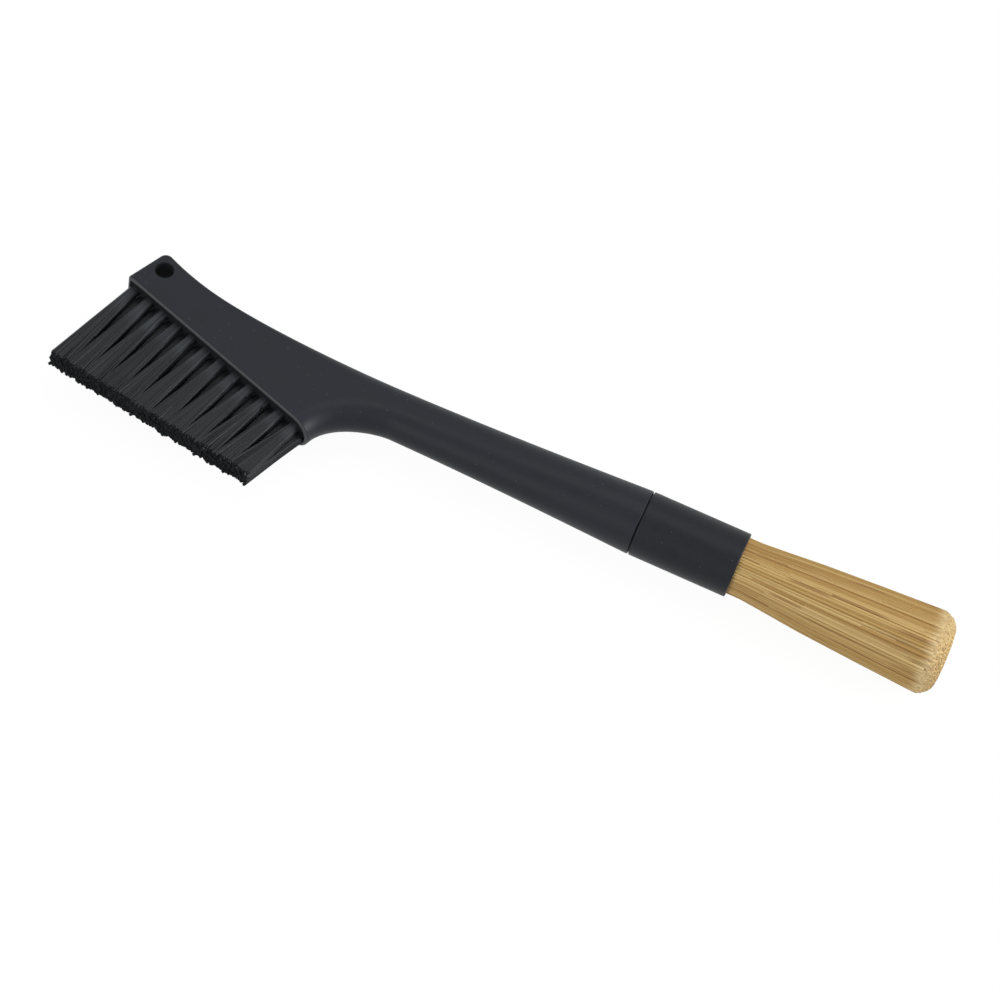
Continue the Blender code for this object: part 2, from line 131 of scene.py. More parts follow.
def meshPiece(name, bm, material):
    # a closed mesh with its points merged, its faces turned out and its place in its points
    bmesh.ops.remove_doubles(bm, verts=bm.verts, dist=mergeWithin)
    bmesh.ops.recalc_face_normals(bm, faces=bm.faces)
    mesh = bpy.data.meshes.new(name)
    bm.to_mesh(mesh)
    bm.free()
    mesh.transform(toWorld)
    mesh.shade_smooth()
    mesh.materials.append(material)
    piece = bpy.data.objects.new(name, mesh)
    bpy.context.scene.collection.objects.link(piece)
    return piece


def applyModifiers(piece):
    graph = bpy.context.evaluated_depsgraph_get()
    mesh = bpy.data.meshes.new_from_object(piece.evaluated_get(graph), depsgraph=graph)
    piece.modifiers.clear()
    piece.data = mesh


def evenNormals(piece):
    # flat faces look flat beside the fillets, and sharp edges stay sharp
    piece.data.set_sharp_from_angle(angle=math.radians(sharpFrom))
    piece.modifiers.new("even_normals", "WEIGHTED_NORMAL").keep_sharp = True
    applyModifiers(piece)


# Materials

plasticLook = {
    "colour": "#0c1119",
    "paleColour": "#11161f",  # of the flow marks
    "speckColour": "#5c5f66",
    "lipPaintedLight": "#3f4042",  # painted light on the rim's lip, for the highlight that it catches
    "lipDepth": 0.5,
    "lipSolid": 0.5,  # the share of that depth that is fully pale
    "roughness": 0.48,
    "unevenness": 0.04,  # of the roughness, over the flow marks
    "gloss": 0.29,  # specular level
    "ior": 1.49,
    "grain": 0.22,  # spacing of the spark-eroded grain, as coarse as it needs to be to show
    "grainDepth": 0.012,
    "cloud": 6.0,  # size of the soft flow marks
    "cloudDetail": 4.0,
    "cloudRoughness": 0.6,
    "flowFrom": 0.3,  # of the cloud's noise, where a flow mark starts and where it is full
    "flowTo": 0.7,
    "speckSpacing": 1.9,
    "speckSize": 0.14,
    "speckSolid": 0.3,  # the share of a speck inside its soft edge
}
tubeLook = {**plasticLook, "colour": "#080b12", "paleColour": "#0e121a"}
tubeLook |= {"gloss": 0.27, "cloud": 2.5}

# The recess and the bores keep the tool's rough finish
boreLook = {**plasticLook, "colour": "#101216", "paleColour": "#14161a"}
boreLook |= {"roughness": 0.7, "gloss": 0.2}


def mouldedPlastic(name, look, lip=None):
    # Polypropylene, moulded black in a spark-eroded tool: satin, with a fine grain that breaks
    # up highlights, faint flow marks, and the few pale specks of dust that black plastic shows
    material, add, shader = newMaterial(name)
    place = add("ShaderNodeTexCoord").outputs["Object"]
    cloud = add(
        "ShaderNodeTexNoise",
        None,
        {
            "Vector": place,
            "Scale": patternScale(look["cloud"]),
            "Detail": look["cloudDetail"],
            "Roughness": look["cloudRoughness"],
        },
    )
    flow = add(
        "ShaderNodeMapRange",
        None,
        {"Value": cloud, "From Min": look["flowFrom"], "From Max": look["flowTo"]},
    )
    colours = {"A": linearColour(look["colour"]), "B": linearColour(look["paleColour"])}
    tone = add("ShaderNodeMix", colourMix, {"Factor": flow, **colours})
    cells = add(
        "ShaderNodeTexVoronoi", None, {"Vector": place, "Scale": patternScale(look["speckSpacing"])}
    )
    speckEdge = look["speckSize"] / look["speckSpacing"]
    speck = add(
        "ShaderNodeMapRange",
        softStep,
        {"Value": cells, "From Min": speckEdge, "From Max": look["speckSolid"] * speckEdge},
    )
    specks = {"Factor": speck, "A": tone, "B": linearColour(look["speckColour"])}
    tone = add("ShaderNodeMix", colourMix, specks)
    # painted light along the rim's lip, paler within lipDepth of its face, for its highlight
    if lip:
        foot, inward = lip
        reach = add("ShaderNodeVectorMath", "SUBTRACT", {0: place, 1: foot})
        depth = add("ShaderNodeVectorMath", "DOT_PRODUCT", {0: reach, 1: inward})
        lipDepth = look["lipDepth"] * mm
        lipLightShare = add(
            "ShaderNodeMapRange",
            softStep,
            {"Value": depth, "From Min": lipDepth, "From Max": look["lipSolid"] * lipDepth},
        )
        paintedLipMix = {"Factor": lipLightShare, "A": tone, "B": linearColour(look["lipPaintedLight"])}
        tone = add("ShaderNodeMix", colourMix, paintedLipMix)
    rough = add("ShaderNodeMapRange", None, {"Value": flow, **roughnessRange(look)})
    grain = add("ShaderNodeTexNoise", None, {"Vector": place, "Scale": patternScale(look["grain"])})
    bump = add("ShaderNodeBump", None, {"Height": grain, "Distance": look["grainDepth"] * mm})
    surface = {"Base Color": tone, "Roughness": rough, "Normal": bump}
    surface |= {"IOR": look["ior"], "Specular IOR Level": look["gloss"]}
    setInputs(shader, surface)
    return material


nylonLook = {
    "colour": "#15171a",
    "paleColour": "#2b2e31",
    "paintedRootLevel": 2.2,  # paler near the root: painted light for the shade that the rim casts there, painted shade below 1
    "rootLength": 0.13,
    "tipPaintedShade": 0.35,  # painted shade on the cut ends, which show this share of the colour
    "tipLength": 0.015,
    "tipRoughness": 0.7,  # more than along the filament
    "roughness": 0.4,
    "unevenness": -0.05,  # of the roughness: the paler filaments are the smoother ones
    "gloss": 0.2,
    "ior": 1.53,
}

# The back row's roots get painted shade instead, for the shade of the front row
paintedShadeLook = {**nylonLook, "paintedRootLevel": 0.7}


def drawnNylon(name, look):
    # Nylon 6.12, drawn as a filament and dyed black: smooth and slightly glossy along its length,
    # with a little difference from one filament to the next
    material, add, shader = newMaterial(name)
    tint = add("ShaderNodeAttribute", {"attribute_name": "tint"}).outputs["Fac"]
    along = add("ShaderNodeAttribute", {"attribute_name": "along"}).outputs["Fac"]
    colours = {"A": linearColour(look["colour"]), "B": linearColour(look["paleColour"])}
    tone = add("ShaderNodeMix", colourMix, {"Factor": tint, **colours})
    # painted shade on the cut ends, a mask that also makes them rougher
    cut = add(
        "ShaderNodeMapRange",
        softStep,
        {
            "Value": along,
            "From Min": 1 - look["tipLength"],
            "To Min": 1.0,
            "To Max": look["tipPaintedShade"],
        },
    )
    # painted root level: light above 1 and shade below 1, scaling the colour near the root
    rootPaint = add(
        "ShaderNodeMapRange",
        softStep,
        {"Value": along, "From Max": look["rootLength"], "To Min": look["paintedRootLevel"]},
    )
    level = add("ShaderNodeMath", "MULTIPLY", {0: cut, 1: rootPaint})
    shaded = add("ShaderNodeVectorMath", "SCALE", {0: tone, "Scale": level})
    worn = add(
        "ShaderNodeMapRange",
        None,
        {"Value": cut, "From Min": look["tipPaintedShade"], "To Min": look["tipRoughness"], "To Max": 0.0},
    )
    own = add("ShaderNodeMapRange", None, {"Value": tint, **roughnessRange(look)})
    surface = {
        "Base Color": shaded,
        "Roughness": add("ShaderNodeMath", "ADD", {0: own, 1: worn}),
        "IOR": look["ior"],
        "Specular IOR Level": look["gloss"],
    }
    setInputs(shader, surface)
    return material


bristleLook = {
    "darkest": "#94672f",
    "dark": "#ad8546",
    "middle": "#b89453",
    "pale": "#d8b97b",
    "darkestAt": 0.04,  # where each tone stands, from the darkest strand at 0 to the palest at 1
    "darkAt": 0.1,
    "middleAt": 0.4,
    # painted shade for the gaps where strands part
    "gap": "#845520",
    "tip": "#ecd4a0",
    "flagStart": 0.962,
    "flagEnd": 1.028,
    "flagSpread": 0.02,  # how much sooner some strands turn pale
    "flagDepth": 0.9,
    "roughness": 0.5,
    "ior": 1.55,
    "streakLength": 30.0,
    "streakWidth": 0.11,
    "streakDepth": 0.65,
    "streakFrom": 0.57,  # of the noise, where a streak starts and where it is full
    "streakTo": 0.68,
    "streakShift": 7.3,  # picks the streaks that show
}


def bleachedBristle(look):
    # Natural bristle, boiled straight and bleached: horn with a soft sheen, tan with some darker
    # strands, streaks of painted shade where strands part, and a paler, finer flag at each tip
    material, add, shader = newMaterial("bleached_natural_bristle")
    tint = add("ShaderNodeAttribute", {"attribute_name": "tint"}).outputs["Fac"]
    tones = add("ShaderNodeValToRGB", None, {"Fac": tint})
    stops = tones.color_ramp.elements
    stops[0].color = linearColour(look["darkest"])
    stops[1].color = linearColour(look["pale"])
    for tone in ("darkest", "dark", "middle"):
        stops.new(look[f"{tone}At"]).color = linearColour(look[tone])
    # painted shade in long thin streaks, where strands part
    lie = add("ShaderNodeAttribute", {"attribute_name": "lie"}).outputs["Vector"]
    across = 1 / look["streakWidth"]
    stretched = add(
        "ShaderNodeMapping",
        None,
        {
            "Vector": lie,
            "Location": (look["streakShift"], 0, 0),
            "Scale": (1 / look["streakLength"], across, across),
        },
    )
    streak = add("ShaderNodeTexNoise", None, {"Vector": stretched, "Scale": 1.0, "Detail": 1.0})
    gapShadeShare = add(
        "ShaderNodeMapRange",
        softStep,
        {
            "Value": streak,
            "From Min": look["streakFrom"],
            "From Max": look["streakTo"],
            "To Max": look["streakDepth"],
        },
    )
    gapShadeMix = {"Factor": gapShadeShare, "A": tones, "B": linearColour(look["gap"])}
    tone = add("ShaderNodeMix", colourMix, gapShadeMix)
    along = add("ShaderNodeAttribute", {"attribute_name": "along"}).outputs["Fac"]
    ownEnd = add("ShaderNodeMath", "MULTIPLY_ADD", {0: tint, 1: look["flagSpread"], 2: along})
    flag = add(
        "ShaderNodeMapRange",
        softStep,
        {
            "Value": ownEnd,
            "From Min": look["flagStart"],
            "From Max": look["flagEnd"],
            "To Max": look["flagDepth"],
        },
    )
    paleTips = {"Factor": flag, "A": tone, "B": linearColour(look["tip"])}
    tone = add("ShaderNodeMix", colourMix, paleTips)
    surface = {"Base Color": tone, "Roughness": look["roughness"], "IOR": look["ior"]}
    setInputs(shader, surface)
    return material


resinLook = {"colour": "#8a6a34", "roughness": 0.25, "ior": 1.55, "cloud": 2.0, "clouding": 0.5}


def castResin(look):
    # Epoxy, poured and cured: glossy amber, with soft clouds from the bristles' dust
    material, add, shader = newMaterial("cast_epoxy")
    place = add("ShaderNodeTexCoord").outputs["Object"]
    cloud = add("ShaderNodeTexNoise", None, {"Vector": place, "Scale": patternScale(look["cloud"])})
    shade = add(
        "ShaderNodeMix",
        {**colourMix, "blend_type": "MULTIPLY"},
        {
            "Factor": look["clouding"],
            "A": linearColour(look["colour"]),
            "B": cloud.outputs["Color"],
        },
    )
    surface = {"Base Color": shade, "Roughness": look["roughness"], "IOR": look["ior"]}
    setInputs(shader, surface)
    return material


wireLook = {
    "colour": "#b9b4ab",
    "roughness": 0.32,
    "unevenness": 0.1,
    "line": 0.08,  # spacing of the lines that the rolls leave
    "stretch": 0.05,  # near 0 the lines are long
}


def flattenedWire(look):
    # Galvanised steel wire, rolled flat: fine lines along it from the rolls
    material, add, shader = newMaterial("rolled_steel_wire")
    place = add("ShaderNodeTexCoord").outputs["Object"]
    stretched = add("ShaderNodeMapping", None, {"Vector": place, "Scale": (look["stretch"], 1, 1)})
    lines = add(
        "ShaderNodeTexNoise", None, {"Vector": stretched, "Scale": patternScale(look["line"])}
    )
    rough = add("ShaderNodeMapRange", None, {"Value": lines, **roughnessRange(look)})
    surface = {"Base Color": linearColour(look["colour"]), "Metallic": 1.0, "Roughness": rough}
    setInputs(shader, surface)
    return material


print("materials: plastic, nylon, bristle, resin and wire")
tubePlastic = mouldedPlastic("moulded_polypropylene_tube", tubeLook)
borePlastic = mouldedPlastic("moulded_polypropylene_bore", boreLook)
nylon = {
    "front": drawnNylon("front_nylon_painted_root_light", nylonLook),
    "back": drawnNylon("back_nylon_painted_root_shade", paintedShadeLook),
}
bristle = bleachedBristle(bristleLook)
resin = castResin(resinLook)
wire = flattenedWire(wireLook)

# The handle

handle = {
    "gripDiameter": 18.0,  # at the seam
    "gripLength": 70.0,
    "flareAtNeck": 0.01,  # slopes of the grip's outline
    "flareAtSeam": 0.045,
    "spigotLength": 10.0,
    "spigotGap": 1.4,  # the collar's wall and the gap inside it
    "spigotChamfer": 0.6,
    "seamFillet": 0.3,
    "thickness": 11.5,
    "neckWidth": 13.9,
    "headHeight": 13.7,
    "wallLean": 1.1,
    "cornerRadius": 2.2,
    "edgeRadius": 1.0,
    "edgeFlow": 55.0,  # length over which the head's edge turns into the round neck
    "backAngle": 24.6,
    "backPulls": (23.4, 33.6),  # of the curve, at the head and at the neck
    "backSlope": 0.02,
    "throatStraight": 1.5,
    "throatPulls": (8.3, 4.4),  # of the curve, at the rim and at the neck
    "rimLength": 67.3,
    "rimAngle": 18.9,
    "rimEnd": (18.8, 19.3),  # before the neck, and below the grip's axis
    "rimFillet": 0.7,
    "lip": 1.0,
    "recessDepth": 0.5,
    "recessCorner": 0.8,
    "recessFillet": 0.2,
    "hangHoleDiameter": 5.0,
    "hangHoleFromEnd": 5.2,
    "hangHoleWeb": 1.4,  # between it and the tufts' holes
    "hangHoleFillet": 0.2,
}

tufts = {
    "perRow": 12,
    "first": 2.5,  # front tuft's axis, from the rim's outer end
    "last": 5.0,  # front tuft's axis, from the rim's handle end
    "lastInset": 2.3,  # how much closer to that end the last back tuft stands
    "rowHeight": 1.2,  # of each row, from the middle of the head's thickness
    "diameter": 2.3,
    "gap": 0.25,  # round each tuft, in its hole
    "holeDepth": 4.2,
    "trimAtOuterEnd": 31.2,
    "trimAtHandleEnd": 19.3,
    "tipMargins": (3.2, 2.8),
    "tipHeight": 2.7,
}

half = handle["thickness"] / 2
neckHalf = handle["neckWidth"] / 2
rimTurn = math.radians(handle["rimAngle"])
rimAlong = Vector((math.cos(rimTurn), -math.sin(rimTurn)))
rimInward = Vector((-rimAlong.y, rimAlong.x))
rimEnd = Vector((-handle["gripLength"] - handle["rimEnd"][0], -handle["rimEnd"][1]))
rimStart = rimEnd - rimAlong * handle["rimLength"]


def rimPoint(x, y):
    return rimStart + rimAlong * x + rimInward * y


lipFoot = toWorld @ rimStart.to_3d()
plastic = mouldedPlastic("moulded_polypropylene", plasticLook, (lipFoot, rimInward.to_3d()))


def rightOf(along):
    return Vector((along.y, -along.x))


def bezierPoint(start, startPull, endPull, end, share):
    rest = 1 - share
    point = rest**3 * start + 3 * rest**2 * share * startPull
    point += 3 * rest * share**2 * endPull + share**3 * end
    along = rest**2 * (startPull - start) + 2 * rest * share * (endPull - startPull)
    return point, (along + share**2 * (end - endPull)).normalized()


def rolledEdge(point, outward, radius, reach=half, steps=16):
    # points round one edge of the slab, from its lower face over its side to its upper face
    points = []
    for side in (-1, 1):
        for step in range(steps + 1):
            turn = step if side > 0 else steps - step
            angle = math.pi / 2 * turn / steps
            place = point - outward * radius * (1 - math.cos(angle))
            points.append(place.to_3d())
            points[-1].z = side * (reach - radius + radius * math.sin(angle))
    return points


def throatEdge(steps=30):
    # from the handle end of the rim through the throat to the neck
    start = rimPoint(handle["rimLength"], handle["throatStraight"])
    neck = Vector((-handle["gripLength"], -neckHalf))
    pullStart = start + rimInward * handle["throatPulls"][0]
    pullEnd = neck - Vector((handle["throatPulls"][1], 0))
    foot = rimPoint(handle["rimLength"], handle["rimFillet"])
    stations = [(foot, rimAlong, half), (start, rimAlong, half)]
    for step in range(1, steps):
        point, along = bezierPoint(start, pullStart, pullEnd, neck, step / steps)
        stations.append((point, rightOf(along), half))
    return stations + [(neck, Vector((0, -1)), half)]


def backEdge(steps=44, cornerSteps=12):
    # from the neck over the back and the outer corner to the rim
    neck = Vector((-handle["gripLength"], neckHalf))
    corner = rimPoint(handle["wallLean"], handle["headHeight"])
    wall = (rimStart - corner).normalized()
    slope = math.radians(handle["backAngle"])
    back = Vector((-math.cos(slope), math.sin(slope)))
    turn = back.angle(wall)
    radius = handle["cornerRadius"]
    start = corner - back * radius * math.tan(turn / 2)
    pullStart = neck - Vector((1, handle["backSlope"])) * handle["backPulls"][1]
    pullEnd = start - back * handle["backPulls"][0]
    stations = [(neck, Vector((0, 1)), half)]
    for step in range(1, steps):
        point, along = bezierPoint(neck, pullStart, pullEnd, start, step / steps)
        share = min(max(1 + (point.x + handle["gripLength"]) / handle["edgeFlow"], 0), 1)
        flow = share * share * (3 - 2 * share)
        edge = handle["edgeRadius"] + (half - handle["edgeRadius"]) * flow
        stations.append((point, rightOf(along), edge))
    centre = start - rightOf(back) * radius
    for step in range(cornerSteps + 1):
        outward = rightOf(back)
        outward.rotate(Matrix.Rotation(turn * step / cornerSteps, 2))
        stations.append((centre + outward * radius, outward, handle["edgeRadius"]))
    lean = handle["wallLean"] * handle["rimFillet"] / handle["headHeight"]
    foot = rimPoint(lean, handle["rimFillet"])
    return stations + [(foot, -rimAlong, handle["edgeRadius"])]


def quarterTurn(steps, first=0):
    # how far a fillet of radius 1 is from each of its two sides, step by step
    for step in range(first, steps + 1):
        angle = math.pi / 2 * step / steps
        yield 1 - math.cos(angle), 1 - math.sin(angle)


def rimOutline(inset, depth, corner):
    start = handle["wallLean"] * depth / handle["headHeight"] + inset
    inner = half - inset
    handleEnd = rolledEdge(rimPoint(handle["rimLength"] - inset, depth), rimAlong, inner, inner)
    outerEnd = rolledEdge(rimPoint(start, depth), -rimAlong, corner, inner)
    return handleEnd + outerEnd[::-1]


def rimSteps(steps=6):
    # inset, depth and corner of each outline from the rim's fillet over the lip into the recess
    fillet, edge = handle["rimFillet"], handle["edgeRadius"]
    lip, soft, deep = handle["lip"], handle["recessFillet"], handle["recessDepth"]
    corner = handle["recessCorner"]
    outlines = []
    for near, far in quarterTurn(steps, 1):
        outlines.append((fillet * near, fillet * far, edge - fillet * near))
    for near, far in quarterTurn(steps):
        inset = lip - soft * far
        outlines.append((inset, soft * near, corner + lip - inset))
    outlines.append((lip, deep - soft, corner))
    for near, far in quarterTurn(steps, 1):
        inset = lip + soft * near
        outlines.append((inset, deep - soft * far, corner + lip - inset))
    return outlines


def gripOutline(x, halfWidth, radius):
    front = rolledEdge(Vector((x, -halfWidth)), Vector((0, -1)), radius, radius)
    back = rolledEdge(Vector((x, halfWidth)), Vector((0, 1)), radius, radius)
    return front + back[::-1]


def gripOutlines(steps=40, filletSteps=6):
    seamRadius, fillet = handle["gripDiameter"] / 2, handle["seamFillet"]
    length = handle["gripLength"]
    core = seamRadius - handle["spigotGap"]
    shoulder = -fitGap / 2
    outlines = []
    for step in range(1, steps + 1):
        share = step / steps
        square, cube = share**2, share**3
        flare = (cube - 2 * square + share) * handle["flareAtNeck"]
        flare += (cube - square) * handle["flareAtSeam"]
        rise = 3 * square - 2 * cube
        sizes = [size + (seamRadius - size) * rise + flare * length for size in (neckHalf, half)]
        outlines.append(gripOutline(-length + (length + shoulder - fillet) * share, *sizes))
    for near, far in quarterTurn(filletSteps, 1):
        radius = seamRadius - fillet * near
        outlines.append(gripOutline(shoulder - fillet * far, radius, radius))
    end, chamfer = handle["spigotLength"], handle["spigotChamfer"]
    for x, radius in ((shoulder, core), (end - chamfer, core), (end, core - chamfer)):
        outlines.append(gripOutline(x, radius, radius))
    return outlines


def joinOutlines(bm, first, second, closed):
    count = len(first)
    for index in range(count if closed else count - 1):
        after = (index + 1) % count
        bm.faces.new([first[index], first[after], second[after], second[index]])


def tuftPlaces():
    # row, number, x along the rim and height of each tuft's axis
    firstRowLast = handle["rimLength"] - tufts["last"]
    secondRowLast = firstRowLast + tufts["lastInset"]
    pitch = (firstRowLast - tufts["first"]) / (tufts["perRow"] - 1)
    places = []
    for number in range(tufts["perRow"]):
        x = tufts["first"] + number * pitch
        places.append(("front", number, x, tufts["rowHeight"]))
        places.append(("back", number, min(x + pitch / 2, secondRowLast), -tufts["rowHeight"]))
    return places


def rimFrame(x, depth, height):
    # x along the rim from its outer end, y into the head and z through the thickness
    place = rimPoint(x, depth).to_3d()
    place.z = height
    axes = Matrix((rimAlong.to_3d(), rimInward.to_3d(), upright)).transposed()
    return Matrix.Translation(place) @ axes.to_4x4()


def handleDrills(steps=28, filletSteps=6, boreSteps=64):
    # one mesh of every drill: the tufts' holes and the hanging hole, which opens at each face
    bm = bmesh.new()
    deepest = handle["recessDepth"] + tufts["holeDepth"]
    radius = tufts["diameter"] / 2 + tufts["gap"]
    length = deepest - handle["recessDepth"] / 2
    for _, _, x, height in tuftPlaces():
        seat = rimFrame(x, deepest - length / 2, height) @ Matrix.Rotation(math.pi / 2, 4, "X")
        bmesh.ops.create_cone(
            bm,
            cap_ends=True,
            segments=steps,
            radius1=radius,
            radius2=radius,
            depth=length,
            matrix=seat,
        )
    bore, fillet = handle["hangHoleDiameter"] / 2, handle["hangHoleFillet"]
    centre = rimPoint(handle["hangHoleFromEnd"], deepest + handle["hangHoleWeb"] + bore)
    upper = [(0, half + fillet), (bore + fillet, half + fillet)]
    for step in range(filletSteps + 1):
        angle = math.pi / 2 * (1 - step / filletSteps)
        reach = fillet * math.cos(angle)
        upper.append((bore + fillet - reach, half - fillet + fillet * math.sin(angle)))
    outline = upper + [(width, -height) for width, height in reversed(upper)]
    points = [bm.verts.new((centre.x + width, centre.y, height)) for width, height in outline]
    edges = [bm.edges.new(pair) for pair in zip(points, points[1:])]
    bmesh.ops.spin(
        bm,
        geom=points + edges,
        cent=centre.to_3d(),
        axis=upright,
        angle=math.tau,
        steps=boreSteps,
        use_merge=True,
    )
    return meshPiece("drills", bm, borePlastic)


def mouldHandle():
    bm = bmesh.new()
    throat, back = (
        [[bm.verts.new(point) for point in rolledEdge(*station)] for station in stations]
        for stations in (throatEdge(), backEdge())
    )
    for chain in (throat, back):
        for first, second in zip(chain, chain[1:]):
            joinOutlines(bm, first, second, closed=False)
    for end in (0, -1):
        bm.faces.new([outline[end] for outline in throat + back])
    last = throat[-1] + back[0][::-1]
    for points in gripOutlines():
        outline = [bm.verts.new(point) for point in points]
        joinOutlines(bm, last, outline, closed=True)
        last = outline
    bm.faces.new(last)
    last = throat[0] + back[-1][::-1]
    for sizes in rimSteps():
        outline = [bm.verts.new(point) for point in rimOutline(*sizes)]
        outside = len(bm.faces)
        joinOutlines(bm, last, outline, closed=True)
        if sizes[0] >= handle["lip"]:
            bm.faces.ensure_lookup_table()
            for face in bm.faces[outside:]:
                face.material_index = 1
        last = outline
    bm.faces.new(last).material_index = 1
    moulding = meshPiece("handle_moulding", bm, plastic)
    moulding.data.materials.append(borePlastic)
    drills = handleDrills()
    cut = moulding.modifiers.new("drills", "BOOLEAN")
    cut.operation = "DIFFERENCE"
    cut.object = drills
    applyModifiers(moulding)
    bpy.data.objects.remove(drills)
    evenNormals(moulding)
    return moulding


print("handle: moulding with its recess, tuft holes and hanging hole")
handlePiece = mouldHandle()
finishPiece(handlePiece, "black_plastic", "handle")

# The collar

collar = {"length": 27.9, "wall": 1.1, "outerFillet": 0.35, "innerFillet": 0.2, "steps": 160}


def turnCollar(filletSteps=6):
    outer = handle["gripDiameter"] / 2
    inner = outer - collar["wall"]
    start, end = fitGap / 2, collar["length"]
    soft, fine = collar["outerFillet"], collar["innerFillet"]
    outline = []
    corners = (
        (end - soft, outer - soft, soft),
        (start + soft, outer - soft, soft),
        (start + fine, inner + fine, fine),
        (end - fine, inner + fine, fine),
    )
    for quarter, (x, height, fillet) in enumerate(corners):
        for step in range(filletSteps + 1):
            angle = math.pi / 2 * (quarter + step / filletSteps)
            outline.append((x + fillet * math.cos(angle), height + fillet * math.sin(angle)))
    bm = bmesh.new()
    points = [bm.verts.new((x, 0, height)) for x, height in outline]
    edges = [bm.edges.new(pair) for pair in zip(points, points[1:] + points[:1])]
    bmesh.ops.spin(
        bm,
        geom=points + edges,
        cent=(0, 0, 0),
        axis=(1, 0, 0),
        angle=math.tau,
        steps=collar["steps"],
        use_merge=True,
    )
    tube = meshPiece("collar_tube", bm, tubePlastic)
    evenNormals(tube)
    return tube


print("collar: turned tube over the spigot and the bristles' roots")
collarPiece = turnCollar()
finishPiece(collarPiece, "black_plastic", "collar")

# What Geometry Nodes grow: folded nylon tufts and the round bundle of natural bristle


def newTree(name, inputs):
    # an empty tree, what adds nodes to it, and its inputs: one for each named value
    tree = bpy.data.node_groups.new(name, "GeometryNodeTree")
    for title, value in inputs.items():
        kind = "NodeSocketInt" if isinstance(value, int) else "NodeSocketFloat"
        kind = "NodeSocketMaterial" if isinstance(value, bpy.types.Material) else kind
        socket = tree.interface.new_socket(title, in_out="INPUT", socket_type=kind)
        socket.default_value = value
    tree.interface.new_socket("Geometry", in_out="OUTPUT", socket_type="NodeSocketGeometry")
    add = partial(addNode, tree)
    return tree, add, add("NodeGroupInput").outputs


def growPiece(name, tree, inputs, place):
    # runs the tree with these inputs and keeps what it makes as a plain mesh
    piece = bpy.data.objects.new(name, bpy.data.meshes.new(name))
    bpy.context.scene.collection.objects.link(piece)
    modifier = piece.modifiers.new(tree.name, "NODES")
    modifier.node_group = tree
    for item in tree.interface.items_tree:
        if item.in_out == "INPUT" and item.name in inputs:
            modifier[item.identifier] = inputs[item.name]
    applyModifiers(piece)
    piece.data.transform(toWorld @ place)
    return piece


def layStrands(add, count, pointsEach):
    # a straight curve for each strand, which keeps its number, and the fields that shape it
    numbered = add(
        "GeometryNodeStoreNamedAttribute",
        {"data_type": "INT"},
        {
            "Geometry": add("GeometryNodePoints", None, {"Count": count}),
            "Name": "strand",
            "Value": add("GeometryNodeInputIndex"),
        },
    )
    line = add(
        "GeometryNodeResampleCurve",
        None,
        {"Curve": add("GeometryNodeCurvePrimitiveLine"), "Count": pointsEach},
    )
    placed = add("GeometryNodeInstanceOnPoints", None, {"Points": numbered, "Instance": line})
    strands = add("GeometryNodeRealizeInstances", None, {"Geometry": placed})
    strand = add("GeometryNodeInputNamedAttribute", {"data_type": "INT"}, {"Name": "strand"})
    return strands, strand, add("GeometryNodeSplineParameter")


def softPush(add, noise, reach):
    # a smooth random push, up to this reach each way, from a noise with these inputs
    cloud = add("ShaderNodeTexNoise", None, noise).outputs["Color"]
    centred = add("ShaderNodeVectorMath", "SUBTRACT", {0: cloud, 1: (0.5, 0.5, 0.5)})
    reach = add("ShaderNodeMath", "MULTIPLY", {0: reach, 1: 2.0})
    return add("ShaderNodeVectorMath", "SCALE", {0: centred, "Scale": reach})


def thicken(add, given, strands, place, sides, attributes):
    # puts the strands in place, gives them their attributes and a section as wide as given,
    # and ends the tree
    kept = add("GeometryNodeSetPosition", None, {"Geometry": strands, "Position": place})
    for name, value in attributes.items():
        kept = add(
            "GeometryNodeStoreNamedAttribute",
            {"data_type": "FLOAT_VECTOR" if name == "lie" else "FLOAT"},
            {"Geometry": kept, "Name": name, "Value": value},
        )
    sized = add("GeometryNodeSetCurveRadius", None, {"Curve": kept, "Radius": given["Width"]})
    section = add("GeometryNodeCurvePrimitiveCircle", None, {"Resolution": sides, "Radius": 0.5})
    solid = add(
        "GeometryNodeCurveToMesh",
        None,
        {"Curve": sized, "Profile Curve": section, "Fill Caps": True},
    )
    smooth = add("GeometryNodeSetShadeSmooth", None, {"Geometry": solid})
    whole = add("GeometryNodeRealizeInstances", None, {"Geometry": smooth})
    dressed = add(
        "GeometryNodeSetMaterial", None, {"Geometry": whole, "Material": given["Material"]}
    )
    add("NodeGroupOutput", None, {"Geometry": dressed})


filaments = {
    "folded": 160,  # in a tuft, each with two ends
    "diameter": 0.13,  # drawn a little thicker than a real one, to show
    "sides": 4,
    "pointsEach": 17,
    "foldShare": 0.25,  # of those points' run, kept in the hole
    "crowding": 1.5,  # above 1 a filament's points lie closer near its root
    "strides": (0.7548777, 0.5698403),  # spread the filaments evenly, across and up
    "stapleGap": 0.3,
    "foldDepth": 3.1,
    "foldSpread": 0.5,  # how much deeper the outer filaments fold
    "foldShape": 0.1,  # near 0 they go straight down to the fold
    "fan": {"front": 1.1, "back": 0.7},  # below 1 the tuft opens sooner
    "tipOverlap": 0.1,  # with the next tuft
    "tipRowGap": 0.1,  # on each side of the middle between the rows
    "clump": 0.7,
    "clumps": 2.3,  # across half a tuft
    "stray": 0.14,
    "ragged": 0.28,
    "longest": 0.7,  # how far the few uncut ends stand out
    "rarity": 14.0,  # of those ends
    "raritySeed": 17,
    "waviness": 0.12,
    "waves": 1.7,  # along a filament
}


